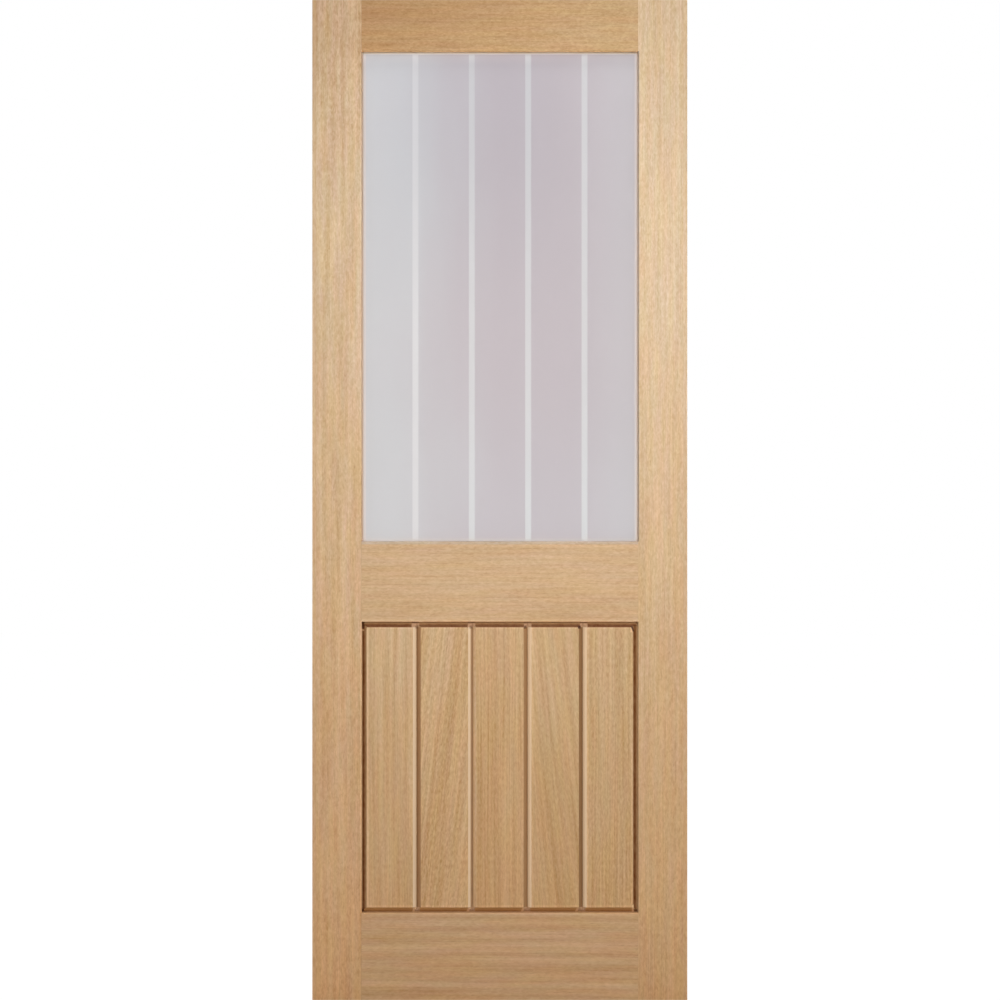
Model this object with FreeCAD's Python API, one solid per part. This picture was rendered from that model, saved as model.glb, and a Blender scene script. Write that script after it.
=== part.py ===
# Half glazed door leaf in engineered oak, as it is sold before it is hung.
#
# Two stiles run the full height, each with a solid lipping glued to its outer edge. Three rails
# butt between the stiles. One groove is run along every edge that borders an opening. It takes the
# stub tenons of the rails and the tongue round the boarded panel. Round the light its back cheek
# is cut away, which leaves a rebate: the glass stands there on two blocks, bedded on tape against
# the front lip, and mitred beads hold it from behind. The panel is five tongued and grooved boards
# with V joints. Its outer edges and ends are bevelled down to the tongue in the groove.
#
# All sizes are in millimetres. X runs from the hinge edge, x = 0, to the lock edge. Y runs from
# the front face to the back face, and y = 0 is the middle of the thickness. Z runs up from the
# bottom edge, z = 0. The origin is on the hinge edge at the foot of the leaf.
import FreeCAD, Part
import os

from FreeCAD import Vector

# The leaf
leaf_width = 762.0
leaf_height = 2032.0
leaf_thickness = 35.0

# The frame members, measured on the face
stile_width = 100.0
top_rail_width = 104.0
lock_rail_width = 163.0
bottom_rail_width = 178.0
edge_lipping = 8.0
edge_arris = 1.5
opening_arris = 1.5

# The groove round the openings, which the stub tenons of the rails fill
groove_width = 12.4
groove_depth = 10.0

# The boarded panel
panel_height = 591.0
board_count = 5
board_setback = 2.0
bevel_quirk = 2.0
bevel_width = 9.5
bevel_foot_gap = 0.5
tongue_side_clearance = 0.2
tongue_end_gap = 1.0

# The V joint between two boards
joint_v_width = 16.0
joint_v_depth = 8.0
joint_gap = 0.3
joint_tongue_thickness = 5.0
joint_tongue_length = 6.0
joint_side_clearance = 0.2
joint_end_gap = 0.7

# The glazing
glass_thickness = 4.0
glass_edge_gap = 3.0
tape_thickness = 1.0
tape_inset = 0.5
setting_block_length = 60.0
bead_setback = 1.5
bead_chamfer = 2.5

# Lines and levels worked out from the sizes above
face_y = leaf_thickness / 2
board_y = face_y - board_setback
groove_y = groove_width / 2
tongue_y = groove_y - tongue_side_clearance
opening_left = stile_width
opening_right = leaf_width - stile_width
panel_bottom = bottom_rail_width
panel_top = panel_bottom + panel_height
light_bottom = panel_top + lock_rail_width
light_top = leaf_height - top_rail_width
tongue_length = groove_depth - tongue_end_gap
glass_lap = groove_depth - glass_edge_gap
lip_y = -groove_y
glass_front = lip_y + tape_thickness
glass_back = glass_front + glass_thickness
bead_seat = glass_back + tape_thickness
bead_face = face_y - bead_setback

centre_plane = Vector(0, 0, 0), Vector(0, 1, 0)
middle_plane = Vector(leaf_width / 2, 0, 0), Vector(1, 0, 0)


def box(x0, x1, y0, y1, z0, z1):
    """A box between two corners."""
    return Part.makeBox(x1 - x0, y1 - y0, z1 - z0, Vector(x0, y0, z0))


def block(x0, x1, y, z0, z1):
    """A box centred on the thickness, y being half of its own thickness."""
    return box(x0, x1, -y, y, z0, z1)


def prism(points, along):
    """A closed outline of points, pushed along a vector."""
    outline = Part.makePolygon([Vector(*p) for p in points] + [Vector(*points[0])])
    return Part.Face(outline).extrude(along)


def flare(z0, z1, y, spread):
    """A cutter in an opening, wider than it by spread on all four sides at its mouth.

    z0 and z1 are the opening's foot and head, y is the level of the mouth at the back.
    """
    return Part.makeWedge(
        opening_left, y - spread, z0, z0 - spread, opening_left - spread,
        opening_right, y, z1, z1 + spread, opening_right + spread,
    )


def on_front(tool):
    """The mirror image, at the front face, of a tool made for the back face."""
    return tool.mirror(*centre_plane)


def trimmed(shape, tools):
    """The shape with every tool cut from it and its flat faces left whole."""
    return shape.cut(tools).removeSplitter()


def opening_cutters():
    """The glazing rebate, and the arris round both openings with its corners mitred."""
    rebate = box(
        opening_left - groove_depth, opening_right + groove_depth,
        lip_y, face_y,
        light_bottom - groove_depth, light_top + groove_depth,
    )
    panel = flare(panel_bottom, panel_top, face_y, opening_arris)
    light = flare(light_bottom, light_top, face_y, opening_arris)
    return [rebate, panel, on_front(panel), on_front(light)]


def stiles():
    """Both stiles and their lippings. The lock side is the mirror image of the hinge side."""
    corner = [(0, face_y, 0), (edge_arris, face_y, 0), (0, face_y - edge_arris, 0)]
    chamfer = prism(corner, Vector(0, 0, leaf_height))
    lipping = trimmed(block(0, edge_lipping, face_y, 0, leaf_height), [chamfer, on_front(chamfer)])
    groove = block(opening_left - groove_depth, opening_left, groove_y, 0, leaf_height)
    stile = trimmed(
        block(edge_lipping, opening_left, face_y, 0, leaf_height),
        [groove] + opening_cutters(),
    )
    return {
        "hinge_edge_lipping": lipping,
        "hinge_stile": stile,
        "lock_stile": stile.mirror(*middle_plane),
        "lock_edge_lipping": lipping.mirror(*middle_plane),
    }


def rail(low, high, grooves):
    """A rail with a stub tenon at each end. grooves lists the levels (z0, z1) of its grooves."""
    tenon_left = opening_left - groove_depth
    tenon_right = opening_right + groove_depth
    body = block(opening_left, opening_right, face_y, low, high)
    tenons = block(tenon_left, tenon_right, groove_y, low, high)
    cutters = [block(tenon_left, tenon_right, groove_y, z0, z1) for z0, z1 in grooves]
    return trimmed(body.fuse(tenons), cutters + opening_cutters())


def rails():
    """The three rails, grooved on every edge that borders an opening."""
    above_bottom_rail = (panel_bottom - groove_depth, panel_bottom)
    below_lock_rail = (panel_top, panel_top + groove_depth)
    above_lock_rail = (light_bottom - groove_depth, light_bottom)
    below_top_rail = (light_top, light_top + groove_depth)
    return {
        "bottom_rail": rail(0, panel_bottom, [above_bottom_rail]),
        "lock_rail": rail(panel_top, light_bottom, [below_lock_rail, above_lock_rail]),
        "top_rail": rail(light_top, leaf_height, [below_top_rail]),
    }


def closed(left_half, right_half):
    """A closed outline (u, y) from the back halves of its two edges and their mirror images."""
    left = left_half + [(u, -y) for u, y in reversed(left_half)]
    right = [(u, -y) for u, y in right_half] + right_half[::-1]
    return left + right


def housed_edge(edge, inward, tongue):
    """Back half of a bevelled edge, from the face of a board to the tip of its tongue.

    edge is the edge of the opening, inward is +1 or -1 towards the middle of the panel.
    """
    bevel_top = edge + inward * (bevel_foot_gap + bevel_width)
    bevel_foot = edge + inward * bevel_foot_gap
    return [
        (bevel_top, board_y),
        (bevel_top, board_y - bevel_quirk),
        (bevel_foot, tongue_y),
        (edge - inward * tongue, tongue_y),
    ]


def tongued_edge(joint):
    """Back half of the V, the shoulder and the tongue on the hinge side of a joint."""
    shoulder = joint - joint_gap / 2
    joint_y = joint_tongue_thickness / 2
    return [
        (joint - joint_v_width / 2, board_y),
        (shoulder, board_y - joint_v_depth),
        (shoulder, joint_y),
        (shoulder + joint_tongue_length, joint_y),
    ]


def grooved_edge(joint):
    """Back half of the V, the shoulder and the groove on the lock side of a joint."""
    shoulder = joint + joint_gap / 2
    joint_y = joint_tongue_thickness / 2 + joint_side_clearance
    groove_floor = joint - joint_gap / 2 + joint_tongue_length + joint_end_gap
    return [
        (joint + joint_v_width / 2, board_y),
        (shoulder, board_y - joint_v_depth),
        (shoulder, joint_y),
        (groove_floor, joint_y),
    ]


def boards():
    """The boards of the panel, counted from the hinge stile.

    Each is its plan outline pushed up and its end outline pushed across, where the two overlap,
    so the bevels of its ends and sides meet in mitres. Its foot stands on the groove's floor.
    """
    ends_outline = closed(
        housed_edge(panel_bottom, 1, groove_depth),
        housed_edge(panel_top, -1, tongue_length),
    )
    ends = prism([(0, y, z) for z, y in ends_outline], Vector(leaf_width, 0, 0))
    pitch = (opening_right - opening_left) / board_count
    nodes = {}
    for number in range(1, board_count + 1):
        left = opening_left + (number - 1) * pitch
        if number == 1:
            left_half = housed_edge(opening_left, 1, tongue_length)
        else:
            left_half = grooved_edge(left)
        if number == board_count:
            right_half = housed_edge(opening_right, -1, tongue_length)
        else:
            right_half = tongued_edge(left + pitch)
        plan = [(x, y, 0) for x, y in closed(left_half, right_half)]
        upright = prism(plan, Vector(0, 0, leaf_height))
        nodes[f"panel_board_{number}"] = upright.common(ends).removeSplitter()
    return nodes


def light_ring(outer_inset, inner_inset, y0, y1):
    """A flat ring between two insets from the edges of the light, from level y0 to y1."""

    def sheet(inset):
        return box(
            opening_left + inset, opening_right - inset, y0, y1,
            light_bottom + inset, light_top - inset,
        )

    return sheet(outer_inset).cut(sheet(inner_inset))


def mitre_masks():
    """Four prisms that part a ring round the light along the mitres of its corners."""
    left = opening_left - groove_depth
    right = opening_right + groove_depth
    bottom = light_bottom - groove_depth
    top = light_top + groove_depth
    half = (right - left) / 2
    bottom_left = (left, -face_y, bottom)
    bottom_right = (right, -face_y, bottom)
    top_left = (left, -face_y, top)
    top_right = (right, -face_y, top)
    low_centre = (left + half, -face_y, bottom + half)
    high_centre = (left + half, -face_y, top - half)
    outlines = {
        "bottom": [bottom_left, bottom_right, low_centre],
        "top": [top_left, high_centre, top_right],
        "hinge_side": [bottom_left, low_centre, high_centre, top_left],
        "lock_side": [bottom_right, top_right, high_centre, low_centre],
    }
    through = Vector(0, leaf_thickness, 0)
    return {side: prism(points, through) for side, points in outlines.items()}


def beads():
    """Four mitred beads that fill the rebate behind the glass, chamfered towards the light."""
    chamfer = flare(light_bottom, light_top, bead_face, bead_chamfer)
    ring = trimmed(light_ring(-groove_depth, 0, bead_seat, bead_face), [chamfer])
    return {
        "glazing_bead_" + side: ring.common(mask).removeSplitter()
        for side, mask in mitre_masks().items()
    }


def glazing():
    """The sheet of glass, the tape that beds it on each face and the blocks that it stands on."""
    pane = box(
        opening_left - glass_lap, opening_right + glass_lap, glass_front, glass_back,
        light_bottom - glass_lap, light_top + glass_lap,
    )
    nodes = {
        "glass_pane": pane,
        "front_glazing_tape": light_ring(-glass_lap, -tape_inset, lip_y, glass_front),
        "back_glazing_tape": light_ring(-glass_lap, -tape_inset, glass_back, bead_seat),
    }
    quarter = (opening_right - opening_left) / 4
    places = {"hinge_side": opening_left + quarter, "lock_side": opening_right - quarter}
    for side, middle in places.items():
        nodes["setting_block_" + side] = box(
            middle - setting_block_length / 2, middle + setting_block_length / 2,
            lip_y, bead_seat,
            light_bottom - groove_depth, light_bottom - glass_lap,
        )
    return nodes


def main():
    nodes = {**stiles(), **rails(), **boards(), **glazing(), **beads()}
    os.makedirs("parts", exist_ok=True)
    for name, shape in nodes.items():
        shape.exportStep(f"parts/{name}.step")
        print(f"{name}: {len(shape.Solids)} solid, {shape.Volume / 1000:.1f} cm3")


main()
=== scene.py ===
# Finishes, bead pins and stage for a half glazed oak door leaf.
#
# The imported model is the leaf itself, in metres. X runs from the hinge edge to the lock edge, the
# front faces -Y and Z runs up. This script gives every piece its finish, adds the pins that hold
# the glazing beads, and sets the leaf in a plain studio. It is laid out as an add-on.
import math
from dataclasses import dataclass

import bmesh
import bpy
from bpy.props import FloatProperty, FloatVectorProperty, IntProperty, PointerProperty
from mathutils import Matrix, Vector


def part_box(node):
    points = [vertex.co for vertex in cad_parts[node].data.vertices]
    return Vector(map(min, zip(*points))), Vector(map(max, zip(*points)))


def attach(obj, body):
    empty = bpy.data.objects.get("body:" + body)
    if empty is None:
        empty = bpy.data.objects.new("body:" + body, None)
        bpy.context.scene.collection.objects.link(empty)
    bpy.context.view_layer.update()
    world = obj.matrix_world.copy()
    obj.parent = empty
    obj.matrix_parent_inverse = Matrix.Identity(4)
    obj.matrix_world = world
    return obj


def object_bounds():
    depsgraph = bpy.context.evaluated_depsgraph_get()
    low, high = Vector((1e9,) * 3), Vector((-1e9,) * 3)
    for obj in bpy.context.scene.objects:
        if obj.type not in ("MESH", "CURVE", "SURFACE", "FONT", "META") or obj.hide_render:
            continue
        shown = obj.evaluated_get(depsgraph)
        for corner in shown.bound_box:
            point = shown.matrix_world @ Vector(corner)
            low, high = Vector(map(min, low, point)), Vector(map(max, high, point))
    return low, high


bl_info = {
    "name": "Half Glazed Door Finishes",
    "version": (1, 0, 0),
    "blender": (4, 5, 0),
    "location": "3D Viewport > Sidebar > Door",
    "description": "Oak, satin glass and studio for a half glazed door leaf",
    "category": "Material",
}

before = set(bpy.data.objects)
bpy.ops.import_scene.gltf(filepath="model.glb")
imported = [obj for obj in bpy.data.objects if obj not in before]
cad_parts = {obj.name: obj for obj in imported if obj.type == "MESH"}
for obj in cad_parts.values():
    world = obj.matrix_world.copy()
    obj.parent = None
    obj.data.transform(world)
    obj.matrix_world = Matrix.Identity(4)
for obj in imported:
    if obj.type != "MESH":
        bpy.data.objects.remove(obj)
cad_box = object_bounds()

LEAF_LOW, LEAF_HIGH = cad_box
LEAF_CENTRE = (LEAF_LOW + LEAF_HIGH) / 2
FACE_Y = LEAF_HIGH.y
OPENING_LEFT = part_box("hinge_stile")[1].x
OPENING_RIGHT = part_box("lock_stile")[0].x
PANEL_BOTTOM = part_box("bottom_rail")[1].z
PANEL_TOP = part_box("lock_rail")[0].z
LIGHT_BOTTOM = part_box("lock_rail")[1].z
LIGHT_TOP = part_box("top_rail")[0].z
BOARDS = sorted(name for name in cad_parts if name.startswith("panel_board"))
BEADS = sorted(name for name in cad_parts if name.startswith("glazing_bead"))
BLOCKS = sorted(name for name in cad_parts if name.startswith("setting_block"))
HALF_OPENING = (OPENING_RIGHT - OPENING_LEFT) / 2
BOARD_PITCH = 2 * HALF_OPENING / len(BOARDS)

# Half a V joint's width, how far the bevel reaches from the frame, and where the painted shade line
# beside its quirk runs
HALF_JOINT = 0.008
BEVEL_REACH = 0.012
SHADE_LINE_AT = 0.0082

# The oak faces and the softwood layers under them, and how high the painted shade at the foot reaches
VENEER = 0.0008
LAYER = 0.00335
FOOT_SHADE_REACH = 1.45

# Sealed oak: its roughness between the pores, and how deep the pores are
OAK_ROUGHNESS = 0.52
PORE_DEPTH = 0.00006

# How far a surface has to turn before it counts as facing left, right, up or down
BEVEL_TURN = 0.25
ARRIS_TURN = 0.3

WHITE = (1.0, 1.0, 1.0)


def srgb(red, green, blue):
    """A colour given in screen values from 0 to 255, as the linear values that shaders use."""
    return tuple(
        c / 12.92 if c <= 0.04045 else ((c + 0.055) / 1.055) ** 2.4
        for c in (red / 255, green / 255, blue / 255)
    )


def scaled(colour, red, green, blue):
    """A colour with each channel multiplied, held below full white."""
    return tuple(min(c * m, 0.98) for c, m in zip(colour, (red, green, blue)))


def opaque(colour):
    """A colour with the fourth value that a colour socket takes."""
    return (*colour[:3], 1.0)


class Socket:
    """A node output that Python's own operators turn into Math nodes."""

    def __init__(self, tree, link):
        self.tree = tree
        self.link = link

    def math(self, operation, *terms):
        return self.tree.node("ShaderNodeMath", {"operation": operation}, dict(enumerate(terms)))[0]

    def __add__(self, other):
        return self.math("ADD", self, other)

    def __radd__(self, other):
        return self.math("ADD", other, self)

    def __sub__(self, other):
        return self.math("SUBTRACT", self, other)

    def __rsub__(self, other):
        return self.math("SUBTRACT", other, self)

    def __mul__(self, other):
        return self.math("MULTIPLY", self, other)

    def __rmul__(self, other):
        return self.math("MULTIPLY", other, self)

    def __truediv__(self, other):
        return self.math("DIVIDE", self, other)

    def __gt__(self, other):
        return self.math("GREATER_THAN", self, other)

    def __lt__(self, other):
        return self.math("LESS_THAN", self, other)

    def __abs__(self):
        return self.math("ABSOLUTE", self)


class Outputs:
    """The outputs of a node, each wrapped when it is asked for by name or number."""

    def __init__(self, tree, made):
        self.tree = tree
        self.made = made

    def __getitem__(self, key):
        return Socket(self.tree, self.made.outputs[key])


class Finish:
    """A material, or a world, whose node tree is written as Python expressions."""

    def __init__(self, name, owners=None):
        if owners is None:
            owners = bpy.data.materials
        self.owner = owners.new(name)
        self.owner.use_nodes = True
        self.nodes = self.owner.node_tree.nodes
        self.links = self.owner.node_tree.links
        self.nodes.clear()

    def node(self, kind, settings=None, inputs=None):
        """Adds a node: its own settings first, then the values or links of its sockets."""
        made = self.nodes.new(kind)
        for field, value in (settings or {}).items():
            setattr(made, field, value)
        for key, value in (inputs or {}).items():
            if isinstance(value, Socket):
                self.links.new(value.link, made.inputs[key])
            else:
                made.inputs[key].default_value = value
        return Outputs(self, made)

    def parts(self, output):
        """The three values of an output of the Texture Coordinate node."""
        whole = self.node("ShaderNodeTexCoord")[output]
        split = self.node("ShaderNodeSeparateXYZ", inputs={0: whole})
        return split[0], split[1], split[2]

    def place(self):
        """The three coordinates of a point of the leaf, in metres."""
        return self.parts("Object")

    def facing(self):
        """The three parts of the direction that a surface faces."""
        return self.parts("Normal")

    def vector(self, x, y, z):
        """Three values as one vector or colour."""
        return self.node("ShaderNodeCombineXYZ", inputs={0: x, 1: y, 2: z})[0]

    def noise(self, point, detail=2.0, roughness=0.5, distortion=0.0):
        """Smooth noise from 0 to 1, one cell to each unit of the point."""
        sockets = {
            "Vector": point, "Scale": 1.0, "Detail": detail,
            "Roughness": roughness, "Distortion": distortion,
        }
        return self.node("ShaderNodeTexNoise", inputs=sockets)[0]

    def step(self, value, low, high):
        """0 below low and 1 above high, smooth between. low may be the greater of the two."""
        return self.node(
            "ShaderNodeMapRange",
            {"interpolation_type": "SMOOTHSTEP"},
            {0: value, 1: low, 2: high},
        )[0]

    def mix(self, share, first, second, blend="MIX"):
        """Two colours mixed by a share from 0, the first, to 1, the second.

        A Mix node takes colours at its sockets 6 and 7, and gives one at its third output.
        """
        first, second = (c if isinstance(c, Socket) else opaque(c) for c in (first, second))
        return self.node(
            "ShaderNodeMix",
            {"data_type": "RGBA", "blend_type": blend},
            {0: share, 6: first, 7: second},
        )[2]

    def times(self, colour, factor):
        """A colour multiplied by another."""
        return self.mix(1.0, colour, factor, "MULTIPLY")

    def toned(self, colour, share, factor):
        """A colour multiplied by a factor where the share is 1, and less where it is less."""
        return self.times(colour, self.mix(share, WHITE, factor))

    def paler(self, colour, share, gain):
        """A colour made paler by the gain where the share is 1."""
        return self.toned(colour, share, (1.0 + gain, 1.0 + gain, 1.0 + gain * 1.3))

    def spot(self, across, at, reach, along, height, run):
        """1 in a small soft spot round the place where across is at and along is height."""
        return (
            self.step(abs(across - at), reach, reach / 2)
            * self.step(abs(along - height), run, run / 2)
        )

    def bump(self, strength, distance, height):
        """The direction that a surface faces, roughened by a height from 0 to 1."""
        sockets = {"Strength": strength, "Distance": distance, "Height": height}
        return self.node("ShaderNodeBump", inputs=sockets)[0]

    def surface(self, sockets):
        """Ends the tree with a Principled shader whose sockets are given by name."""
        shader = self.node("ShaderNodeBsdfPrincipled", inputs=sockets)[0]
        self.node("ShaderNodeOutputMaterial", inputs={0: shader})
        return self.owner


def dress(node, material):
    """Gives a node of the leaf one material all over."""
    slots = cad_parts[node].data.materials
    slots.clear()
    slots.append(material)


@dataclass
class Timber:
    """How one piece of oak was cut: its tone, the way of its grain and where the tree's heart lay.

    centre is the piece's middle across the grain. heart_across and heart_depth say how far the
    heart is from it, lean how far the heart drifts for each metre along the grain, and rings is a
    multiple of the ring spacing. streak and fleck are the strength of the long streaks and the
    short flecks, streak_width is in metres, streak_run and fleck_run are how long they are, and
    slant how far they drift sideways for each metre. wave is the strength of the fibre's waves,
    hue that of the warm and cool drifts, and head how much contrast grows towards the leaf's head.
    """

    tone: tuple
    centre: float
    seed: int
    upright: bool = True
    heart_across: float = 0.18
    heart_depth: float = 0.12
    lean: float = 0.01
    rings: float = 1.0
    streak: float = 1.0
    streak_width: float = 0.006
    streak_run: float = 0.25
    fleck: float = 1.0
    fleck_run: float = 0.012
    slant: float = 0.0
    wave: float = 0.0
    hue: float = 1.0
    head: float = 0.0


def oak_figure(finish, timber, oak):
    """The colour of sanded oak, and its relief from 0 in the pores to 1."""
    x, y, z = finish.place()
    across, along = (x, z) if timber.upright else (z, x)
    across = across - timber.centre
    seed = timber.seed * 7.31

    # The rings round the heart of the tree, with the bow and wander of a grown trunk
    bow = finish.noise(finish.vector(along * 1.1, seed, 0.0), 1.0) - 0.5
    wander = finish.noise(finish.vector(across * 30, along * 5 + seed, y * 30), 2.0) - 0.5
    off_across = across - timber.heart_across + bow * 0.03 + along * timber.lean
    off_heart = finish.vector(off_across, y - timber.heart_depth, 0.0)
    radius = finish.node("ShaderNodeVectorMath", {"operation": "LENGTH"}, {0: off_heart})["Value"]
    count = (radius + wander * 0.004) / (oak.ring_spacing * timber.rings)
    count = count + (finish.noise(finish.vector(count * 0.23, seed, 1.7), 2.0) - 0.5) * 3.0
    phase = count.math("FRACT", count)
    early = finish.step(phase, 0.5, 0.0) + finish.step(phase, 0.9, 1.0)

    # Long streaks, short flecks, waves of the fibre and pores, all drawn out along the grain
    drift = across + along * timber.slant + wander * 0.004
    streak = finish.noise(
        finish.vector(drift / timber.streak_width, along / timber.streak_run + seed, y * 40),
    )
    broad = finish.noise(finish.vector(drift * 22, along * 0.9 + seed, y * 10), 1.0)
    hue = finish.noise(finish.vector(drift * 62 + seed, along * 8, y * 20), 1.0)
    blush = finish.noise(finish.vector(drift * 70, along * 10 + seed, y * 20 + 3.0), 1.0)
    fleck = finish.noise(
        finish.vector(drift * 330 + seed, along / timber.fleck_run, y * 200), 1.0, 0.5, 0.5,
    )
    wave = finish.noise(finish.vector(across * 45, along * 22 + seed, y * 30), 2.0, 0.6, 1.2)
    pore = finish.noise(finish.vector(across * 1700, along * 75 + seed, y * 1700), 1.0)
    pore = finish.step(pore, 0.60, 0.70) * (0.25 + early * 0.75)

    light = (streak - 0.5) * (0.8 * timber.streak) + (broad - 0.5) * (0.35 * timber.streak)
    light = light - (early - 0.4) * 0.08
    light = light + (fleck - 0.5) * (0.86 * timber.fleck)
    light = light + (wave - 0.5) * timber.wave
    light = 0.5 + light * (1.0 + finish.step(z, 1.62, 1.95) * timber.head)
    tone = timber.tone
    colour = finish.mix(light, scaled(tone, 0.765, 0.67, 0.50), scaled(tone, 1.205, 1.295, 1.46))

    # Drifts from cool to warm and from green to pink, and the painted shade at the foot, darker and
    # warmer, that fades out upward
    drifts = [
        (hue, (0.966, 0.947, 0.896), (1.008, 0.958, 0.824)),
        (blush, (0.990, 1.018, 0.992), (1.010, 0.982, 1.008)),
    ]
    for drifting, first, second in drifts:
        share = 0.5 + (drifting - 0.5) * (2.2 * timber.hue)
        colour = finish.times(colour, finish.mix(share, first, second))
    height = finish.node("ShaderNodeMapRange", inputs={0: z, 1: 0.0, 2: FOOT_SHADE_REACH})[0]
    colour = finish.times(colour, finish.mix(height, oak.foot_shade, WHITE))
    colour = finish.mix(pore * 0.4, colour, scaled(tone, 0.46, 0.33, 0.18))
    return colour, 1.0 - pore


def arrises(finish, colour, stain_tone):
    """The frame's softened edges and inner faces: painted light and shade on the arrises by the way
    each faces and by the glass, painted light on the lip above the glass, and stain on the inner
    faces by the panel.
    """
    z = finish.place()[2]
    nx, ny, nz = finish.facing()
    upward = nz > ARRIS_TURN
    downward = nz < -ARRIS_TURN
    beside_glass = z > (PANEL_TOP + LIGHT_BOTTOM) / 2

    # Painted light and shade on an arris, by the panel and by the glass, for each way that it faces
    arris_light_gains = [
        (nx > ARRIS_TURN, 1.66, 1.2),
        (nx < -ARRIS_TURN, 0.95, 0.74),
        (upward, 0.86, 1.0),
        (downward, 2.0, 1.2),
    ]
    gain = 0.0
    for faces, by_panel, by_glass in arris_light_gains:
        gain = faces * (by_panel + beside_glass * (by_glass - by_panel)) + gain
    arris = finish.step(abs(ny), 0.96, 0.9) * finish.step(abs(ny), 0.5, 0.6)
    colour = finish.toned(colour, arris, finish.vector(gain * 0.97, gain, gain * 1.06))

    # Painted light on the lip above the glass, lifting the shade under the top rail, and the arris
    # below the panel browner
    inner = finish.step(abs(ny), 0.4, 0.3)
    lip = inner * downward * (abs(z - LIGHT_TOP) < 0.001)
    colour = finish.toned(colour, lip, (1.9, 1.97, 2.05))
    colour = finish.toned(colour, arris * upward * (1.0 - beside_glass), (1.0, 0.88, 0.72))
    by_panel = inner * (z > PANEL_BOTTOM - 0.0005) * (z < PANEL_TOP - 0.0005)
    return finish.mix(by_panel * 0.6, colour, stain_tone)


def layered_core(finish, colour, core_tone):
    """The cut ends of a stile or rail: thin layers of softwood, glued face to face under oak."""
    x, y, z = finish.place()
    nz = finish.facing()[2]
    layer = (y + FACE_Y - VENEER) / LAYER
    sheet = layer.math("FLOOR", layer)
    depth = layer - sheet
    shade = finish.noise(finish.vector(sheet * 3.7, x * 9, 0.0), 1.0)
    speck = finish.noise(finish.vector(x * 700, y * 2500, z * 700), 2.0)
    light = shade * 0.7 + speck * 0.3
    pale_core = scaled(core_tone, 1.2, 1.22, 1.22)
    softwood = finish.mix(light, scaled(core_tone, 0.68, 0.62, 0.54), pale_core)
    glue = finish.step(abs(depth - 0.5), 0.43, 0.47)
    softwood = finish.mix(glue * 0.7, softwood, scaled(core_tone, 0.35, 0.27, 0.2))
    inside = finish.step(abs(y), FACE_Y - VENEER + 0.0001, FACE_Y - VENEER - 0.0001)
    cut = finish.step(abs(nz), 0.7, 0.9) * ((z < LEAF_LOW.z + 0.0005) + (z > LEAF_HIGH.z - 0.0005))
    return finish.mix(cut * inside, colour, softwood)


def oak_surface(finish, colour, relief):
    """Fine sanded oak under a thin matt sealer."""
    return finish.surface({
        "Base Color": colour,
        "Roughness": OAK_ROUGHNESS + (1.0 - relief) * 0.2,
        "Specular IOR Level": 0.35,
        "Normal": finish.bump(0.5, PORE_DEPTH, relief),
    })


class PanelPlace:
    """Where a point of the panel lies: its distances from the frame and from the V joints.

    joint is measured from the nearest V joint, and is positive on the side away from the middle;
    across is the same distance, but always positive to the right.
    away is 1 where the surface faces away from the middle of the panel. Distances are in metres.
    """

    def __init__(self, finish):
        x, y, z = finish.place()
        nx, ny, nz = finish.facing()
        self.side = x - LEAF_CENTRE.x
        towards = self.side.math("SIGN", self.side)
        self.away = nx * towards
        self.flat = abs(ny) > 0.9
        self.leftward = nx < -BEVEL_TURN
        self.rightward = nx > BEVEL_TURN
        self.upward = nz > BEVEL_TURN
        self.downward = nz < -BEVEL_TURN
        self.sideways = finish.step(abs(nx), BEVEL_TURN, 0.45)
        self.endways = finish.step(abs(nz), BEVEL_TURN, 0.45)
        self.from_left = self.side + HALF_OPENING
        self.from_right = HALF_OPENING - self.side
        self.from_side = HALF_OPENING - abs(self.side)
        self.from_top = PANEL_TOP - z
        self.from_foot = z - PANEL_BOTTOM
        self.from_end = self.from_top.math("MINIMUM", self.from_top, self.from_foot)
        nearest = ((abs(self.side) > BOARD_PITCH) + 0.5) * BOARD_PITCH
        self.joint = abs(self.side) - nearest
        self.from_joint = abs(self.joint)
        self.across = self.joint * towards
        self.grain = finish.noise(finish.vector(x * 400, y * 400, z * 60), 2.0) - 0.5
        self.mottle = finish.noise(finish.vector(x * 120, y * 120, z * 90), 1.0) - 0.5


def tone_setting(name, description, default):
    """A colour that a user may change."""
    return FloatVectorProperty(
        name=name, description=description, subtype="COLOR", min=0.0, max=1.0, default=default,
    )


def length_setting(name, description, low, high, default):
    """A length in metres that a user may change."""
    return FloatProperty(
        name=name, description=description, unit="LENGTH", min=low, max=high, default=default,
    )


class OakProperties(bpy.types.PropertyGroup):
    """Tones of the oak parts of the frame."""

    hinge_stile_tone: tone_setting(
        "Hinge Stile", "Mean colour of the hinge stile", srgb(207, 179, 148),
    )
    lock_stile_tone: tone_setting(
        "Lock Stile", "Mean colour of the lock stile", srgb(206, 180, 149),
    )
    top_rail_tone: tone_setting("Top Rail", "Mean colour of the top rail", srgb(189, 153, 110))
    lock_rail_tone: tone_setting("Lock Rail", "Mean colour of the lock rail", srgb(203, 176, 145))
    bottom_rail_tone: tone_setting(
        "Bottom Rail", "Mean colour of the bottom rail", srgb(203, 180, 155),
    )
    lipping_tone: tone_setting(
        "Lipping", "Mean colour of the solid lippings down both edges", srgb(204, 176, 145),
    )
    bead_tone: tone_setting("Beads", "Mean colour of the glazing beads", srgb(200, 164, 126))
    core_tone: tone_setting(
        "Core", "Mean colour of the layered softwood core at the cut ends", srgb(206, 172, 124),
    )
    # Painted shade: the oak darker and warmer at the foot, fading out upward
    foot_shade: tone_setting(
        "Foot Tint", "Multiplies the oak's colour at the foot, fading out upward", (1.0, 0.81, 0.62),
    )
    ring_spacing: length_setting(
        "Ring Spacing", "Distance between two growth rings", 0.001, 0.01, 0.0032,
    )


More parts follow.
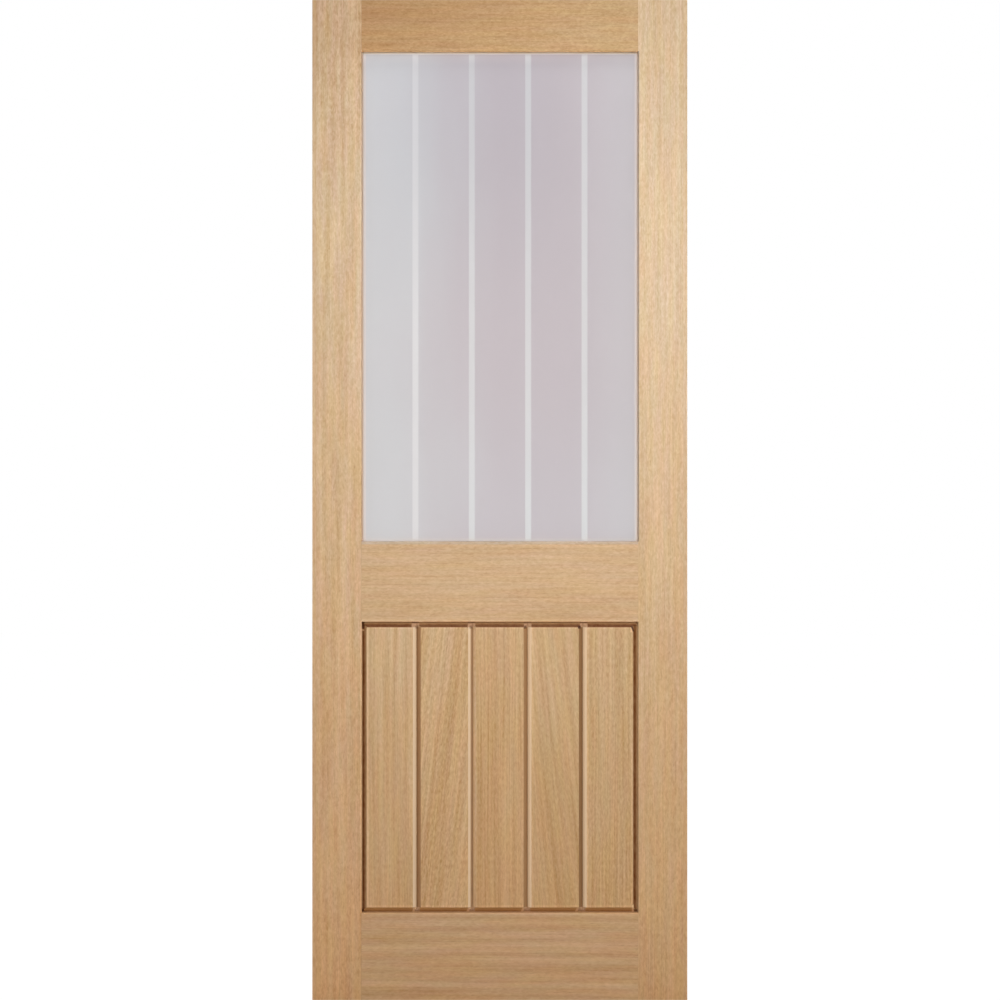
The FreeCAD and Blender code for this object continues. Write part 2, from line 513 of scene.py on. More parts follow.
class PanelProperties(bpy.types.PropertyGroup):
    """Tones of the boarded panel and its moulding."""

    board_tone: tone_setting("Boards", "Mean colour of the boards", srgb(201, 175, 142))
    stain_tone: tone_setting(
        "Stain", "Stain where it is deepest on the bevel round the panel", srgb(112, 60, 15),
    )
    thin_stain_tone: tone_setting(
        "Thin Stain", "Stain where it is thinnest on the bevel round the panel", srgb(186, 143, 98),
    )
    # Painted shade on the V joint sides that face away, and painted light on those that face the
    # middle
    far_flank_shaded_tone: tone_setting(
        "Far Flank", "Side of a V joint that faces away from the middle", srgb(152, 114, 77),
    )
    near_flank_lit_tone: tone_setting(
        "Near Flank", "Side of a V joint that faces the middle", srgb(252, 220, 180),
    )


class GlassProperties(bpy.types.PropertyGroup):
    """The satin glass and the clearer lines that run down it."""

    cool_tone: tone_setting(
        "Cool Tone", "Colour of the satin near the hinge side", srgb(220, 219, 220),
    )
    warm_tone: tone_setting(
        "Warm Tone", "Colour of the satin near the middle", srgb(212, 204, 207),
    )
    line_tone: tone_setting("Line Tone", "Colour of the clearer lines", srgb(231, 229, 229))
    edge_tone: tone_setting(
        "Edge Tone", "Colour of the clear margin where the tape shows through", srgb(230, 208, 188),
    )
    line_width: length_setting("Line Width", "Width of a clearer line", 0.002, 0.05, 0.012)
    line_pitch: length_setting(
        "Line Pitch", "Distance between two clearer lines", 0.02, 0.3, 0.1148,
    )
    line_shift: length_setting(
        "Line Shift", "How far the set of clearer lines lies from the middle", -0.05, 0.05, 0.0003,
    )
    line_count: IntProperty(
        name="Lines", description="How many clearer lines run down the glass",
        min=0, max=12, default=4,
    )
    margin: length_setting(
        "Margin", "Clear strip left between the satin and the oak", 0.0, 0.02, 0.0085,
    )
    satin_roughness: FloatProperty(
        name="Satin Roughness", description="How far the satin scatters what is behind it",
        subtype="FACTOR", min=0.0, max=1.0, default=0.70,
    )
    line_roughness: FloatProperty(
        name="Line Roughness", description="How far the clearer lines scatter what is behind them",
        subtype="FACTOR", min=0.0, max=1.0, default=0.55,
    )


class PinProperties(bpy.types.PropertyGroup):
    """The pins that hold the glazing beads."""

    head_diameter: length_setting("Head", "Diameter of a pin head", 0.0005, 0.004, 0.0013)
    spacing: length_setting("Spacing", "Greatest distance between two pins", 0.05, 0.5, 0.17)
    end_distance: length_setting(
        "End Distance", "Distance of the last pin from a corner", 0.01, 0.2, 0.04,
    )


class StageProperties(bpy.types.PropertyGroup):
    """The camera and the light of the studio."""

    camera_distance: length_setting(
        "Camera Distance", "Distance from the camera to the front face", 2.0, 20.0, 4.5,
    )
    camera_offset: length_setting(
        "Camera Offset", "How far the camera stands from the leaf's middle line", -0.1, 0.1, 0.0004,
    )
    world_light: FloatProperty(
        name="World Light", description="Strength of the light from all round",
        min=0.0, max=2.0, default=0.29,
    )
    key_power: FloatProperty(
        name="Key Light", description="Power of the soft light above and right of the camera",
        unit="POWER", min=0.0, max=1000.0, default=31.0,
    )
    rear_power: FloatProperty(
        name="Rear Light", description="Power of the large light behind the leaf",
        unit="POWER", min=0.0, max=1000.0, default=150.0,
    )
    edge_power: FloatProperty(
        name="Edge Lights", description="Power of each light beside one of the leaf's long edges",
        unit="POWER", min=0.0, max=1000.0, default=27.0,
    )


class DOOR_OT_finish_stiles(bpy.types.Operator):
    """Give both stiles and their lippings their oak"""

    bl_idname = "door.finish_stiles"
    bl_label = "Finish Stiles"

    def execute(self, context):
        oak = context.scene.door_oak
        cuts = {
            "hinge_stile": Timber(
                oak.hinge_stile_tone, 0.05, 1, heart_across=0.16,
                heart_depth=0.10, lean=0.012, streak_width=0.009, fleck_run=0.0085, wave=0.32,
                hue=1.7, head=0.45,
            ),
            "lock_stile": Timber(
                oak.lock_stile_tone, 0.712, 2, rings=0.9, heart_across=-0.20,
                heart_depth=0.16, lean=-0.010, streak=0.8, streak_width=0.005, fleck_run=0.009,
                wave=0.12, hue=1.5,
            ),
            "hinge_edge_lipping": Timber(
                oak.lipping_tone, 0.004, 3, rings=0.7, heart_across=0.11,
                heart_depth=0.05, lean=0.004, streak=0.7,
            ),
            "lock_edge_lipping": Timber(
                scaled(oak.lipping_tone, 1.01, 1.04, 1.07), 0.758, 4, rings=0.7,
                heart_across=-0.12, heart_depth=0.06, lean=-0.005, streak=0.7,
            ),
        }
        for node, timber in cuts.items():
            finish = Finish(node + "_oak")
            colour, relief = oak_figure(finish, timber, oak)
            x, _, z = finish.place()

            # The hinge side is browner at its head; the lock stile has a strip of painted shade
            # beside its arris by the glass
            if node.startswith("hinge"):
                colour = finish.toned(colour, finish.step(z, 1.72, 2.02), (0.89, 0.82, 0.75))
            if node == "lock_stile":
                shade_strip = finish.step(x, OPENING_RIGHT + 0.0032, OPENING_RIGHT + 0.0024)
                shade_strip = shade_strip * (z > LIGHT_BOTTOM) * (z < LIGHT_TOP)
                colour = finish.toned(colour, shade_strip, (0.80, 0.84, 0.95))
            if node.endswith("stile"):
                colour = arrises(finish, colour, context.scene.door_panel.stain_tone)
                colour = layered_core(finish, colour, oak.core_tone)
            dress(node, oak_surface(finish, colour, relief))
        return {"FINISHED"}


class DOOR_OT_finish_rails(bpy.types.Operator):
    """Give the three rails their oak, with the grain across and a hairline at each shoulder"""

    bl_idname = "door.finish_rails"
    bl_label = "Finish Rails"

    def execute(self, context):
        oak = context.scene.door_oak
        cuts = {
            "top_rail": Timber(
                oak.top_rail_tone, 1.98, 5, upright=False, rings=0.8,
                heart_across=0.22, heart_depth=0.10, streak_width=0.005, streak_run=0.12,
                fleck=1.15, fleck_run=0.0075, hue=1.2,
            ),
            "lock_rail": Timber(
                oak.lock_rail_tone, 0.85, 6, upright=False,
                heart_across=-0.25, lean=-0.008, streak=0.85, streak_width=0.005, streak_run=0.2,
                fleck=0.9, fleck_run=0.009, hue=0.85,
            ),
            "bottom_rail": Timber(
                oak.bottom_rail_tone, 0.089, 7, upright=False, rings=1.4,
                heart_across=-0.16, heart_depth=0.11, lean=0.015, streak=1.3, streak_width=0.013,
                streak_run=0.5, fleck=0.7, fleck_run=0.010, hue=1.5,
            ),
        }
        for node, timber in cuts.items():
            finish = Finish(node + "_oak")
            colour, relief = oak_figure(finish, timber, oak)
            x, _, z = finish.place()
            if node == "top_rail":
                rise = finish.step(x, OPENING_LEFT - 0.1, OPENING_RIGHT + 0.1)
                drift = finish.mix(rise, (0.90, 0.82, 0.75), (1.03, 1.07, 1.10))
                colour = finish.times(colour, drift)

            # Painted highlights along the edges by the panel and the glass: where, how far each way,
            # how much
            painted_light = finish.step(z, PANEL_BOTTOM - 0.0042, PANEL_BOTTOM - 0.0030)
            painted_light = painted_light * (z < PANEL_BOTTOM + 0.001)
            edges = [
                (PANEL_TOP + 0.003, 0.0032, 0.0020, 0.4),
                (LIGHT_BOTTOM - 0.006, 0.0070, 0.0050, 0.3),
                (LIGHT_TOP + 0.0025, 0.0035, 0.0015, 0.3),
            ]
            for height, fading, full, strength in edges:
                painted_light = painted_light + finish.step(abs(z - height), fading, full) * strength
            colour = finish.toned(colour, painted_light, (1.16, 1.17, 1.18))

            # The lock rail greys towards the glass, and a hairline shows where rail meets stile
            greying = finish.step(z, LIGHT_BOTTOM - 0.0080, LIGHT_BOTTOM - 0.0040)
            colour = finish.toned(colour, greying * (z < LIGHT_BOTTOM + 0.01), (0.87, 0.99, 1.26))
            hairline = finish.step(abs(x - LEAF_CENTRE.x), HALF_OPENING - 0.0005, HALF_OPENING)
            colour = finish.mix(hairline * 0.55, colour, scaled(timber.tone, 0.4, 0.33, 0.26))
            colour = arrises(finish, colour, context.scene.door_panel.stain_tone)
            colour = layered_core(finish, colour, oak.core_tone)
            dress(node, oak_surface(finish, colour, relief))
        return {"FINISHED"}


class DOOR_OT_finish_boards(bpy.types.Operator):
    """Give the panel boards their oak, with the stained bevel and the sides of the V joints"""

    bl_idname = "door.finish_boards"
    bl_label = "Finish Boards"

    def execute(self, context):
        oak = context.scene.door_oak
        panel = context.scene.door_panel

        # Each board's cut, from the hinge side: where its heart lay, its tone, streaks and flecks
        hearts = [0.15, 0.05, -0.12, 0.07, -0.16]
        leans = [0.030, -0.085, 0.015, 0.075, -0.020]
        tints = [
            (1.03, 1.05, 1.09), (1.01, 1.01, 1.01), (0.99, 0.97, 0.95), (0.98, 0.98, 0.96),
            (0.97, 0.97, 0.95),
        ]
        widths = [0.008, 0.005, 0.0045, 0.008, 0.0045]
        flecks = [0.85, 1.35, 0.98, 0.95, 1.15]
        slants = [0.0, -0.12, 0.0, 0.10, 0.0]

        # The V joint at each board's side, as joints takes it, and the painted shade of each joint's
        # brown side in turn
        feet = [0.0012, 0.0030, 0.0, 0.0004, 0.0]
        painted_lifts = [0.0, 0.0, 0.0058, 0.0, 0.0]
        pales = [0.3, 0.1, 0.0, 0.7, 1.0]
        flank_shades = [
            WHITE, (1.08, 1.08, 1.08), (1.42, 1.62, 1.95), (1.06, 1.10, 1.10), (0.80, 0.80, 0.74),
            WHITE,
        ]
        for number, node in enumerate(BOARDS):
            low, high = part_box(node)
            middle = (low.x + high.x) / 2
            timber = Timber(
                scaled(panel.board_tone, *tints[number]), middle, 11 + number,
                rings=1.0 + 0.12 * number, heart_across=hearts[number], heart_depth=0.09,
                lean=leans[number], streak=1.4, streak_width=widths[number], streak_run=0.35,
                fleck=flecks[number], fleck_run=0.0095, slant=slants[number], hue=1.3,
            )
            finish = Finish(node + "_oak")
            colour, relief = oak_figure(finish, timber, oak)
            place = PanelPlace(finish)
            brown = finish.mix(
                place.side > middle - LEAF_CENTRE.x,
                scaled(panel.far_flank_shaded_tone, *flank_shades[number]),
                scaled(panel.far_flank_shaded_tone, *flank_shades[number + 1]),
            )
            colour = self.joints(
                finish, colour, place, panel, brown, feet[number], painted_lifts[number], pales[number],
            )
            colour = self.bevel(finish, colour, place, panel)
            dress(node, oak_surface(finish, colour, relief))
        return {"FINISHED"}

    def joints(self, finish, colour, place, panel, brown, foot, painted_lift, pale):
        """The V joints in painted light and shade: pale where they face the middle of the panel,
        brown where they face away.

        foot is how far painted shadow lies up the pale side; the argument after it, how much of the
        brown side painted light lifts to a paler copy of the board's colour; and pale, how strong the
        painted highlight is on the board's edge beside the pale side.
        """
        soft = 0.0006
        # Painted light on the sides that face the middle, a little less of it on the hinge side, and
        # painted shade deepening into the crease on both sides
        near_tone = panel.near_flank_lit_tone
        top_tone = finish.mix(place.side > 0.0, scaled(near_tone, 0.87, 0.89, 0.93), near_tone)
        rise = finish.step(place.from_joint, 0.0, 0.0065)
        near = finish.mix(rise, scaled(near_tone, 0.74, 0.71, 0.68), top_tone)
        rise = finish.step(place.from_joint, 0.0, 0.009)
        deep = finish.mix(rise + place.grain, (0.92, 0.90, 0.88), (1.22, 1.22, 1.22))
        far = finish.times(brown, deep)
        # Painted shadow at the foot of the pale side, painted light on the brown side beyond its
        # brim, and a painted highlight on the board's edge beside the joint
        near = finish.mix(finish.step(place.from_joint, foot + soft, foot - soft), near, far)
        brim = HALF_JOINT + 0.0002 - (place.side < 0.0) * painted_lift
        painted_light = finish.times(colour, (1.22, 1.31, 1.52))
        far = finish.mix(finish.step(place.from_joint, brim - soft, brim + soft), far, painted_light)
        beside = finish.step(place.from_joint, 0.0140, HALF_JOINT) * (place.joint > 0.0)
        colour = finish.paler(colour, beside * pale, 0.22)
        colour = finish.mix(finish.step(place.away, -BEVEL_TURN, -0.45), colour, near)
        return finish.mix(finish.step(place.away, BEVEL_TURN, 0.45), colour, far)

    def bevel(self, finish, colour, place, panel):
        """The panel's edges, painted pale as a highlight, and the stained bevel between them and the
        frame.
        """
        inward = place.from_side.math("MINIMUM", place.from_side, place.from_end)
        colour = finish.paler(colour, finish.step(inward, 0.0160, 0.0130) * place.flat, 0.14)

        # How thin the stain is by the frame and by the board, and where one turns to the other; the
        # shares differ from side to side as painted light and shade
        stains = [
            (place.leftward, finish.step(place.from_side, 0.0035, 0.0085), 0.05, 0.80),
            (place.rightward, finish.step(place.from_side, 0.0030, 0.0055), 0.70, 0.15),
            (place.upward, finish.step(place.from_end, 0.0040, 0.0060), 0.85, 0.18),
            (place.downward, finish.step(place.from_end, 0.0025, 0.0060), 0.60, 1.25),
        ]
        middle = finish.step(abs(place.side), 0.175, 0.165)
        thin = place.grain * 0.3 + place.mottle * 0.6 + place.upward * middle * 0.11
        thin = thin + place.rightward * finish.step(place.from_side, 0.0080, 0.0098) * 0.35
        for faces, inner, at_frame, at_board in stains:
            thin = faces * (at_frame + inner * (at_board - at_frame)) + thin
        stain = finish.mix(thin, panel.stain_tone, panel.thin_stain_tone)
        # Painted shade: a dark line beside the quirk at the panel's head, in a darker copy of the
        # stain
        painted_shade_tone = scaled(panel.stain_tone, 0.35, 0.25, 0.2)
        painted_shade_line = finish.step(abs(place.from_top - SHADE_LINE_AT), 0.0020, 0.0010)
        stain = finish.mix(painted_shade_line * 0.45, stain, painted_shade_tone)

        # Painted light lifts the stain right beside the frame at the head and the sides, where the
        # frame's shade falls, and a little at the panel's foot, where the stain is also warmer
        pale_lit_tone = scaled(panel.near_flank_lit_tone, 0.95, 0.84, 0.68)
        painted_lift = finish.step(place.from_top, 0.0032, 0.0025) + place.downward * 0.17
        painted_lift = painted_lift + finish.step(place.from_side, 0.0030, 0.0010) * 0.35
        stain = finish.mix(painted_lift, stain, pale_lit_tone)
        stain = finish.toned(stain, place.downward, (1.12, 0.98, 0.74))

        # The ends of the V joints take a dull brown mixed from the painted lit and shaded flank
        # tones, with a painted highlight beside each at the foot
        between = place.from_side > 0.03
        upper = place.from_top < place.from_foot
        shift = upper * (place.side * 0.015 + 0.0010) - 0.0015
        ends = finish.step(abs(place.across - shift), 0.0086, 0.0064) * between
        dull = finish.mix(
            0.40, panel.far_flank_shaded_tone, scaled(panel.near_flank_lit_tone, 1.0, 0.86, 0.86),
        )
        stain = finish.mix(ends * 0.8, stain, dull)
        foot_highlight = place.across + place.side * 0.017 + 0.0085 - (place.from_foot - 0.005) * 0.4
        foot_highlight = finish.step(abs(foot_highlight), 0.0034, 0.0018)
        foot_highlight = foot_highlight * finish.step(place.from_foot, 0.0100, 0.0080) * between
        stain = finish.mix(foot_highlight * 0.75, stain, pale_lit_tone)

        # The corners: a pale spot by the top left one, a painted highlight in the right corner at the
        # foot, and painted shade in the left corners, the right corner at the foot and along the
        # mitre at the top right
        pale_spot = finish.spot(place.from_left, 0.0020, 0.0040, place.from_top, 0.0178, 0.0020)
        corner_highlight = abs(place.from_right - place.from_foot * 0.06 - 0.0100)
        corner_highlight = finish.step(corner_highlight, 0.0028, 0.0016) * finish.step(place.from_foot, 0.0170, 0.0140)
        stain = finish.mix(pale_spot * 0.5 + corner_highlight * 0.8, stain, pale_lit_tone)
        ends = finish.step(place.from_top, 0.0155, 0.0135)
        ends = ends + finish.step(place.from_foot, 0.007, 0.004)
        corner_shade = finish.step(place.from_left, 0.0065, 0.0045) * ends
        slope = place.from_right - 0.0040 - (place.from_foot - 0.0030) * 0.5
        corner_shade = corner_shade + finish.spot(slope, 0.0, 0.0050, place.from_foot, 0.0030, 0.0034)
        slope = place.from_right + place.from_top * 0.4 - 0.0170
        mitre_shade = finish.spot(slope, 0.0, 0.0028, place.from_top, 0.0150, 0.0072)
        stain = finish.mix(corner_shade * 0.7 + mitre_shade * 0.8, stain, painted_shade_tone)

        # The stain lies on the bevel and runs a little onto the board's flat face
        band = place.endways + place.sideways * (place.from_side < 0.016)
        band = band + finish.step(place.from_top, BEVEL_REACH + 0.0001, BEVEL_REACH - 0.0005)
        spilled = 0.25 + (place.flat < 0.5) * 0.75
        band = band + finish.step(place.from_foot, 0.0105, 0.0097) * spilled
        band = band + finish.step(place.from_left, 0.0106, 0.0100) * place.flat * 0.7
        band = band + finish.step(place.from_right, 0.0122, 0.0104) * place.flat * 0.3
        band = band + corner_highlight + mitre_shade
        # A painted highlight on the board just inside the top right corner
        painted_glint = finish.spot(place.from_right, 0.0134, 0.0030, place.from_top, 0.0162, 0.0072)
        colour = finish.paler(colour, painted_glint, 0.45)
        colour = finish.mix(band, colour, stain)

        # Painted shade at the head of each joint, where it meets the bevel, stronger towards the lock
        # side
        beside = place.across + 0.0036 + place.side * 0.0206
        joint_head_shade = finish.spot(beside, 0.0, 0.0040, place.from_top, 0.0116, 0.0040)
        strength = 0.45 + (place.side > 0.0) * 0.25 + (place.side > 0.1) * 0.25
        return finish.mix(joint_head_shade * strength, colour, painted_shade_tone)


class DOOR_OT_finish_glazing(bpy.types.Operator):
    """Give the glass its satin with clearer lines, and the tape its foam"""

    bl_idname = "door.finish_glazing"
    bl_label = "Finish Glass"

    def execute(self, context):
        dress("glass_pane", self.satin(context.scene.door_glass))
        tape = self.tape()
        dress("front_glazing_tape", tape)
        dress("back_glazing_tape", tape)
        block = self.block()
        for node in BLOCKS:
            dress(node, block)
        return {"FINISHED"}

    def satin(self, glass):
        """Acid etched glass, masked in lines and along the beads before it was etched."""
        finish = Finish("satin_glass")
        x, y, z = finish.place()
        side = x - LEAF_CENTRE.x
        first = glass.line_shift - (glass.line_count - 1) / 2 * glass.line_pitch
        half_line = glass.line_width / 2
        clear = 0.0
        for number in range(glass.line_count):
            off = abs(side - (first + number * glass.line_pitch))
            clear = finish.step(off, half_line + 0.0004, half_line - 0.0004) + clear

        # The clear margin, and the strip of it where the tape shows through, tinted with painted
        # shade from the lip, both narrower at the right
        margin = glass.margin
        right = side > 0.0
        from_side = HALF_OPENING - abs(side)
        from_top = LIGHT_TOP - z
        from_end = (LIGHT_TOP - LIGHT_BOTTOM) / 2 - abs(z - (LIGHT_BOTTOM + LIGHT_TOP) / 2)
        rim = finish.step(from_side + right * 0.002, margin + 0.0006, margin - 0.0006)
        end_rim = finish.step(from_end, margin * 0.6 + 0.0008, margin * 0.6 - 0.0008) * 0.5
        clear = clear.math("MAXIMUM", clear.math("MAXIMUM", clear, rim), end_rim)
        tape_and_shade = finish.step(from_side + right * 0.0022, 0.0042, 0.0018)
        tape_and_shade = tape_and_shade.math("MAXIMUM", tape_and_shade, finish.step(from_top, 0.0036, 0.0020))

        cloud = finish.noise(finish.vector(x * 9, 0.0, z * 2.0), 2.0) - 0.5
        warmth = finish.step(side + cloud * 0.25, -0.26, 0.02) - finish.step(side, 0.14, 0.27) * 0.4
        satin = finish.mix(warmth, glass.cool_tone, glass.warm_tone)
        line_tone = glass.line_tone
        line = finish.mix(side > -0.12, scaled(line_tone, 1.06, 1.055, 1.055), line_tone)
        line = finish.mix(rim, line, scaled(line_tone, 1.06, 1.02, 1.01))
        edge = tape_and_shade + (1.0 - tape_and_shade) * rim * 0.15
        tone = finish.mix(edge, finish.mix(clear, satin, line), glass.edge_tone)

        # Painted light and shade: the sheet is darker towards its head, most of all in the middle,
        # lighter at its foot from the middle to the lock side, and pale along its top edge
        foot = finish.step(z, 1.30, 0.95) * finish.step(side, -0.12, -0.02)
        shade = finish.mix(foot, (1.03, 1.03, 1.03), (1.05, 1.075, 1.075))
        head = finish.step(z, 1.30, 1.90)
        head = head * (1.0 - finish.step(abs(side + 0.06), 0.08, 0.28) * 0.5)
        shade = finish.mix(head, shade, (0.885, 0.895, 0.92))
        shade = finish.mix(finish.step(from_top, 0.030, 0.006), shade, (1.12, 1.12, 1.14))
        shade = finish.mix(finish.step(from_top, 0.0065, 0.0030), shade, (1.44, 1.44, 1.48))
        grit = finish.noise(finish.vector(x * 3000, y * 3000, z * 3000), 1.0)
        clearer = glass.line_roughness - glass.satin_roughness
        return finish.surface({
            "Base Color": finish.times(tone, shade),
            "Roughness": glass.satin_roughness + clear * clearer,
            "IOR": 1.45,
            "Transmission Weight": 0.85,
            "Normal": finish.bump(0.3, 0.00003, grit * (1.0 - clear)),
        })

    def tape(self):
        """Closed cell foam tape."""
        finish = Finish("glazing_tape_foam")
        x, y, z = finish.place()
        cells = finish.noise(finish.vector(x * 1500, y * 1500, z * 1500), 2.0)
        return finish.surface({
            "Base Color": finish.mix(cells, srgb(96, 84, 72), srgb(140, 126, 110)),
            "Roughness": 0.75 + cells * 0.2,
            "Specular IOR Level": 0.3,
            "Normal": finish.bump(0.4, 0.0001, cells),
        })

    def block(self):
        """Black moulded plastic of the blocks that the glass stands on."""
        finish = Finish("setting_block_plastic")
        x, y, z = finish.place()
        scuff = finish.noise(finish.vector(x * 300, y * 300, z * 300), 3.0)
        return finish.surface({
            "Base Color": finish.mix(scuff, srgb(30, 30, 32), srgb(58, 58, 60)),
            "Roughness": 0.45 + scuff * 0.25,
        })


class DOOR_OT_finish_beads(bpy.types.Operator):
    """Give the glazing beads their oak, with the grain along each bead"""

    bl_idname = "door.finish_beads"
    bl_label = "Finish Beads"

    def execute(self, context):
        oak = context.scene.door_oak
        for number, node in enumerate(BEADS):
            low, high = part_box(node)
            upright = node.endswith("_side")
            centre = (low.x + high.x) / 2 if upright else (low.z + high.z) / 2
            timber = Timber(
                oak.bead_tone, centre, 31 + number, upright=upright, rings=0.6,
                heart_across=0.1, heart_depth=0.05, lean=0.003, streak=0.8,
            )
            finish = Finish(node + "_oak")
            colour, relief = oak_figure(finish, timber, oak)
            dress(node, oak_surface(finish, colour, relief))
        return {"FINISHED"}


class DOOR_OT_pin_beads(bpy.types.Operator):
    """Set a row of small pins in the face of every glazing bead"""

    bl_idname = "door.pin_beads"
    bl_label = "Pin Beads"

    def execute(self, context):
        pins = context.scene.door_pins
        finish = Finish("pin_steel")
        x, y, z = finish.place()
        rub = finish.noise(finish.vector(x * 900, y * 900, z * 900), 2.0)
        steel = finish.surface({
            "Base Color": finish.mix(rub, srgb(120, 108, 92), srgb(168, 158, 142)),
            "Roughness": 0.35 + rub * 0.25,
            "Metallic": 0.8,
        })
        work = bmesh.new()
        for node in BEADS:
            for spot in self.spots(node, pins):
                self.head(work, spot, pins.head_diameter / 2)
        mesh = bpy.data.meshes.new("bead_pins")
        work.to_mesh(mesh)
        work.free()
        mesh.materials.append(steel)
        piece = bpy.data.objects.new("bead_pins", mesh)
        context.scene.collection.objects.link(piece)
        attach(piece, "root")
        return {"FINISHED"}

    def spots(self, node, pins):
        """Places of the pins of one bead, on its face and along its middle line."""
        low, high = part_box(node)
        along = 2 if node.endswith("_side") else 0
        middle = (low + high) / 2
        middle.y = high.y
        reach = (high[along] - low[along]) / 2 - pins.end_distance
        count = max(2, math.ceil(2 * reach / pins.spacing) + 1)
        found = []
        for number in range(count):
            spot = middle.copy()
            spot[along] += -reach + 2 * reach * number / (count - 1)
            found.append(spot)
        return found

    def head(self, work, spot, radius):
        """A low domed head, let into the bead so that it stands only a little proud."""
        made = bmesh.ops.create_uvsphere(work, u_segments=12, v_segments=6, radius=radius)
        flat = Matrix.Diagonal((1.0, 0.16, 1.0, 1.0))
        place = Matrix.Translation(spot - Vector((0.0, radius * 0.02, 0.0)))
        bmesh.ops.transform(work, matrix=place @ flat, verts=made["verts"])


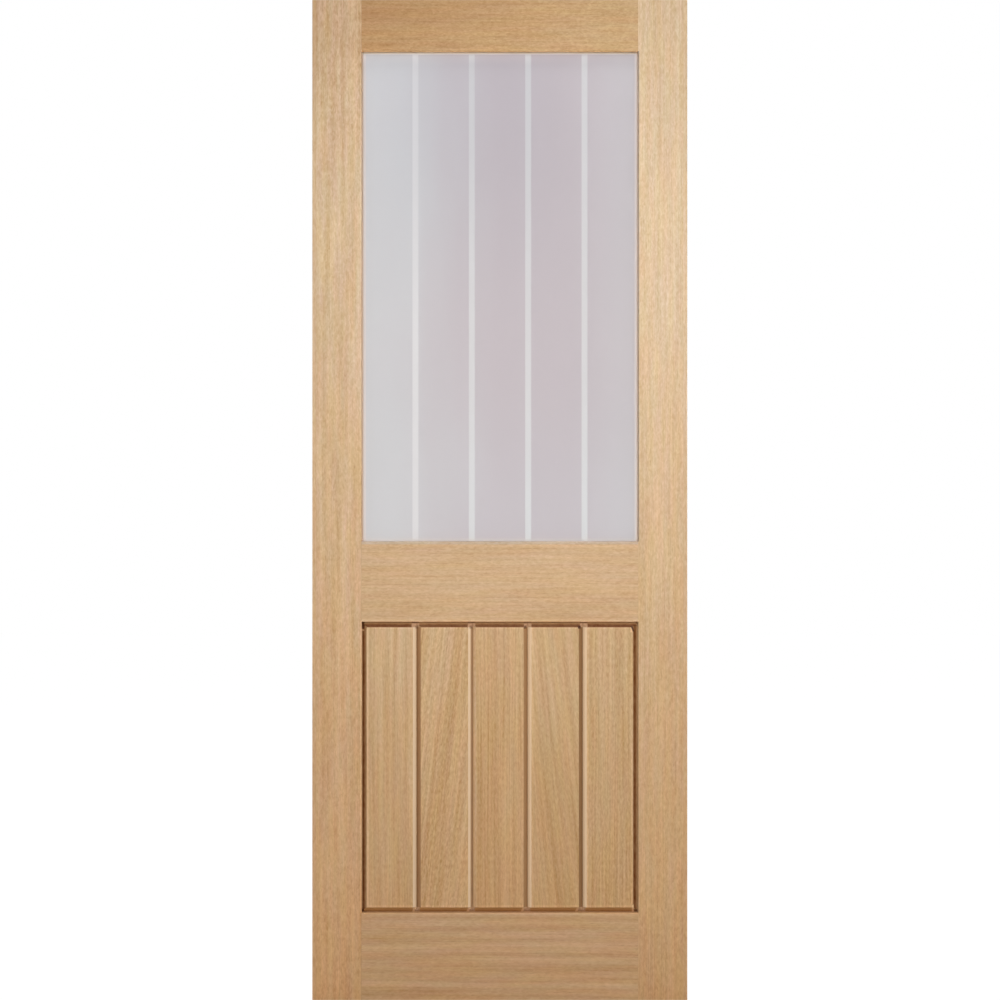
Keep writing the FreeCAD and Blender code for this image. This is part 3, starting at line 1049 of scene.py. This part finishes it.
class DOOR_OT_build_stage(bpy.types.Operator):
    """Build the studio: a plain pale floor, soft lights, a white background and the camera"""

    bl_idname = "door.build_stage"
    bl_label = "Build Stage"

    def execute(self, context):
        stage = context.scene.door_stage
        self.floor(context)
        self.world(context, stage)
        self.lights(context, stage)
        self.camera(context, stage)
        context.scene.view_settings.view_transform = "Standard"
        return {"FINISHED"}

    def seen(self, finish):
        """1 for the rays that show the background: straight, mirrored or through glass."""
        path = finish.node("ShaderNodeLightPath")
        shown = path["Is Camera Ray"]
        shown = shown.math("MAXIMUM", shown, path["Is Glossy Ray"])
        return shown.math("MAXIMUM", shown, path["Is Transmission Ray"])

    def floor(self, context):
        """A large flat floor just below the leaf."""
        work = bmesh.new()
        bmesh.ops.create_grid(work, x_segments=1, y_segments=1, size=12.0)
        mesh = bpy.data.meshes.new("studio_floor")
        work.to_mesh(mesh)
        work.free()
        floor = bpy.data.objects.new("studio_floor", mesh)
        floor.location = (LEAF_CENTRE.x, 0.0, LEAF_LOW.z - 0.001)
        context.scene.collection.objects.link(floor)
        finish = Finish("studio_floor")
        sockets = {
            "Base Color": opaque((0.65, 0.65, 0.65)), "Roughness": 0.9, "Specular IOR Level": 0.1,
        }
        paint = finish.node("ShaderNodeBsdfPrincipled", inputs=sockets)[0]
        sockets = {"Color": opaque(WHITE), "Strength": 1.06}
        glow = finish.node("ShaderNodeEmission", inputs=sockets)[0]
        sockets = {0: self.seen(finish) * 0.93, 1: paint, 2: glow}
        mixed = finish.node("ShaderNodeMixShader", inputs=sockets)[0]
        finish.node("ShaderNodeOutputMaterial", inputs={0: mixed})
        mesh.materials.append(finish.owner)

    def world(self, context, stage):
        """Even light from all round, and plain white where the background shows."""
        finish = Finish("studio_world", bpy.data.worlds)
        strength = stage.world_light + self.seen(finish) * (1.0 - stage.world_light)
        sockets = {"Color": opaque(WHITE), "Strength": strength}
        light = finish.node("ShaderNodeBackground", inputs=sockets)[0]
        finish.node("ShaderNodeOutputWorld", inputs={0: light})
        context.scene.world = finish.owner

    def lights(self, context, stage):
        """A key light above and right of the camera, one high behind, and one beside each long edge.

        All but the rear light pass the glass by, or they would glow through it seen from behind.
        The edge lights pass the floor by as well, as it would throw their light on the front.
        """
        glass = [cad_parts["glass_pane"]]
        glass_and_floor = glass + [bpy.data.objects["studio_floor"]]
        middle = LEAF_CENTRE
        aside = 2.6

        # Each light's name, place, the height it is aimed at, width and power, and what it passes by
        plan = [
            ("key_light", (0.66, -1.85, 1.75), 0.85, 0.9, stage.key_power, glass),
            ("rear_light", (middle.x - 0.3, 1.6, 4.4), middle.z, 1.4, stage.rear_power, []),
        ]
        for name, out in (("hinge_edge_light", -aside), ("lock_edge_light", aside)):
            spot = (middle.x + out, 0.4, 1.2)
            plan.append((name, spot, middle.z, 0.6, stage.edge_power, glass_and_floor))
        for name, spot, height, size, power, passed_by in plan:
            aim = Vector((middle.x, 0.0, height))
            data = bpy.data.lights.new(name, "AREA")
            data.shape = "DISK"
            data.size = size
            data.energy = power
            light = bpy.data.objects.new(name, data)
            light.location = spot
            light.rotation_euler = (aim - Vector(spot)).to_track_quat("-Z", "Y").to_euler()
            light.visible_camera = False
            light.visible_transmission = False
            context.scene.collection.objects.link(light)
            if passed_by:
                self.pass_by(light, passed_by)

    def pass_by(self, light, pieces):
        """Keeps a light off some pieces."""
        skipped = bpy.data.collections.new(light.name + "_skips")
        for piece in pieces:
            skipped.objects.link(piece)
        for member in skipped.collection_objects:
            member.light_linking.link_state = "EXCLUDE"
        light.light_linking.receiver_collection = skipped

    def camera(self, context, stage):
        """A long lens, square on to the leaf, whose view is just lower than the leaf's front face."""
        data = bpy.data.cameras.new("camera")
        data.sensor_width = 36.0
        cropped = 0.0004
        half_height = (LEAF_HIGH.z - LEAF_LOW.z) / 2 - cropped
        data.lens = data.sensor_width / 2 * stage.camera_distance / half_height
        data.clip_end = 100.0
        camera = bpy.data.objects.new("camera", data)
        camera.location = (
            LEAF_CENTRE.x + stage.camera_offset, LEAF_LOW.y - stage.camera_distance, LEAF_CENTRE.z,
        )
        camera.rotation_euler = (math.pi / 2, 0.0, 0.0)
        context.scene.collection.objects.link(camera)
        context.scene.camera = camera


class DOOR_PT_finishes(bpy.types.Panel):
    """The steps of the finish, and the sizes and colours that they use"""

    bl_idname = "DOOR_PT_finishes"
    bl_label = "Door Finishes"
    bl_space_type = "VIEW_3D"
    bl_region_type = "UI"
    bl_category = "Door"

    def draw(self, context):
        for operator in OPERATORS:
            self.layout.operator(operator.bl_idname)
        for group_name in PROPERTY_GROUPS:
            group = getattr(context.scene, group_name)
            box = self.layout.box()
            for name in group.bl_rna.properties.keys():
                if name not in ("rna_type", "name"):
                    box.prop(group, name)


PROPERTY_GROUPS = {
    "door_oak": OakProperties,
    "door_panel": PanelProperties,
    "door_glass": GlassProperties,
    "door_pins": PinProperties,
    "door_stage": StageProperties,
}
OPERATORS = [
    DOOR_OT_finish_stiles,
    DOOR_OT_finish_rails,
    DOOR_OT_finish_boards,
    DOOR_OT_finish_glazing,
    DOOR_OT_finish_beads,
    DOOR_OT_pin_beads,
    DOOR_OT_build_stage,
]


def register():
    for name, group in PROPERTY_GROUPS.items():
        bpy.utils.register_class(group)
        setattr(bpy.types.Scene, name, PointerProperty(type=group))
    for operator in OPERATORS:
        bpy.utils.register_class(operator)
    bpy.utils.register_class(DOOR_PT_finishes)


def unregister():
    bpy.utils.unregister_class(DOOR_PT_finishes)
    for operator in reversed(OPERATORS):
        bpy.utils.unregister_class(operator)
    for name, group in reversed(PROPERTY_GROUPS.items()):
        delattr(bpy.types.Scene, name)
        bpy.utils.unregister_class(group)


def main():
    register()
    bpy.ops.door.finish_stiles()
    bpy.ops.door.finish_rails()
    bpy.ops.door.finish_boards()
    bpy.ops.door.finish_glazing()
    bpy.ops.door.finish_beads()
    bpy.ops.door.pin_beads()
    bpy.ops.door.build_stage()


if __name__ == "__main__":
    main()
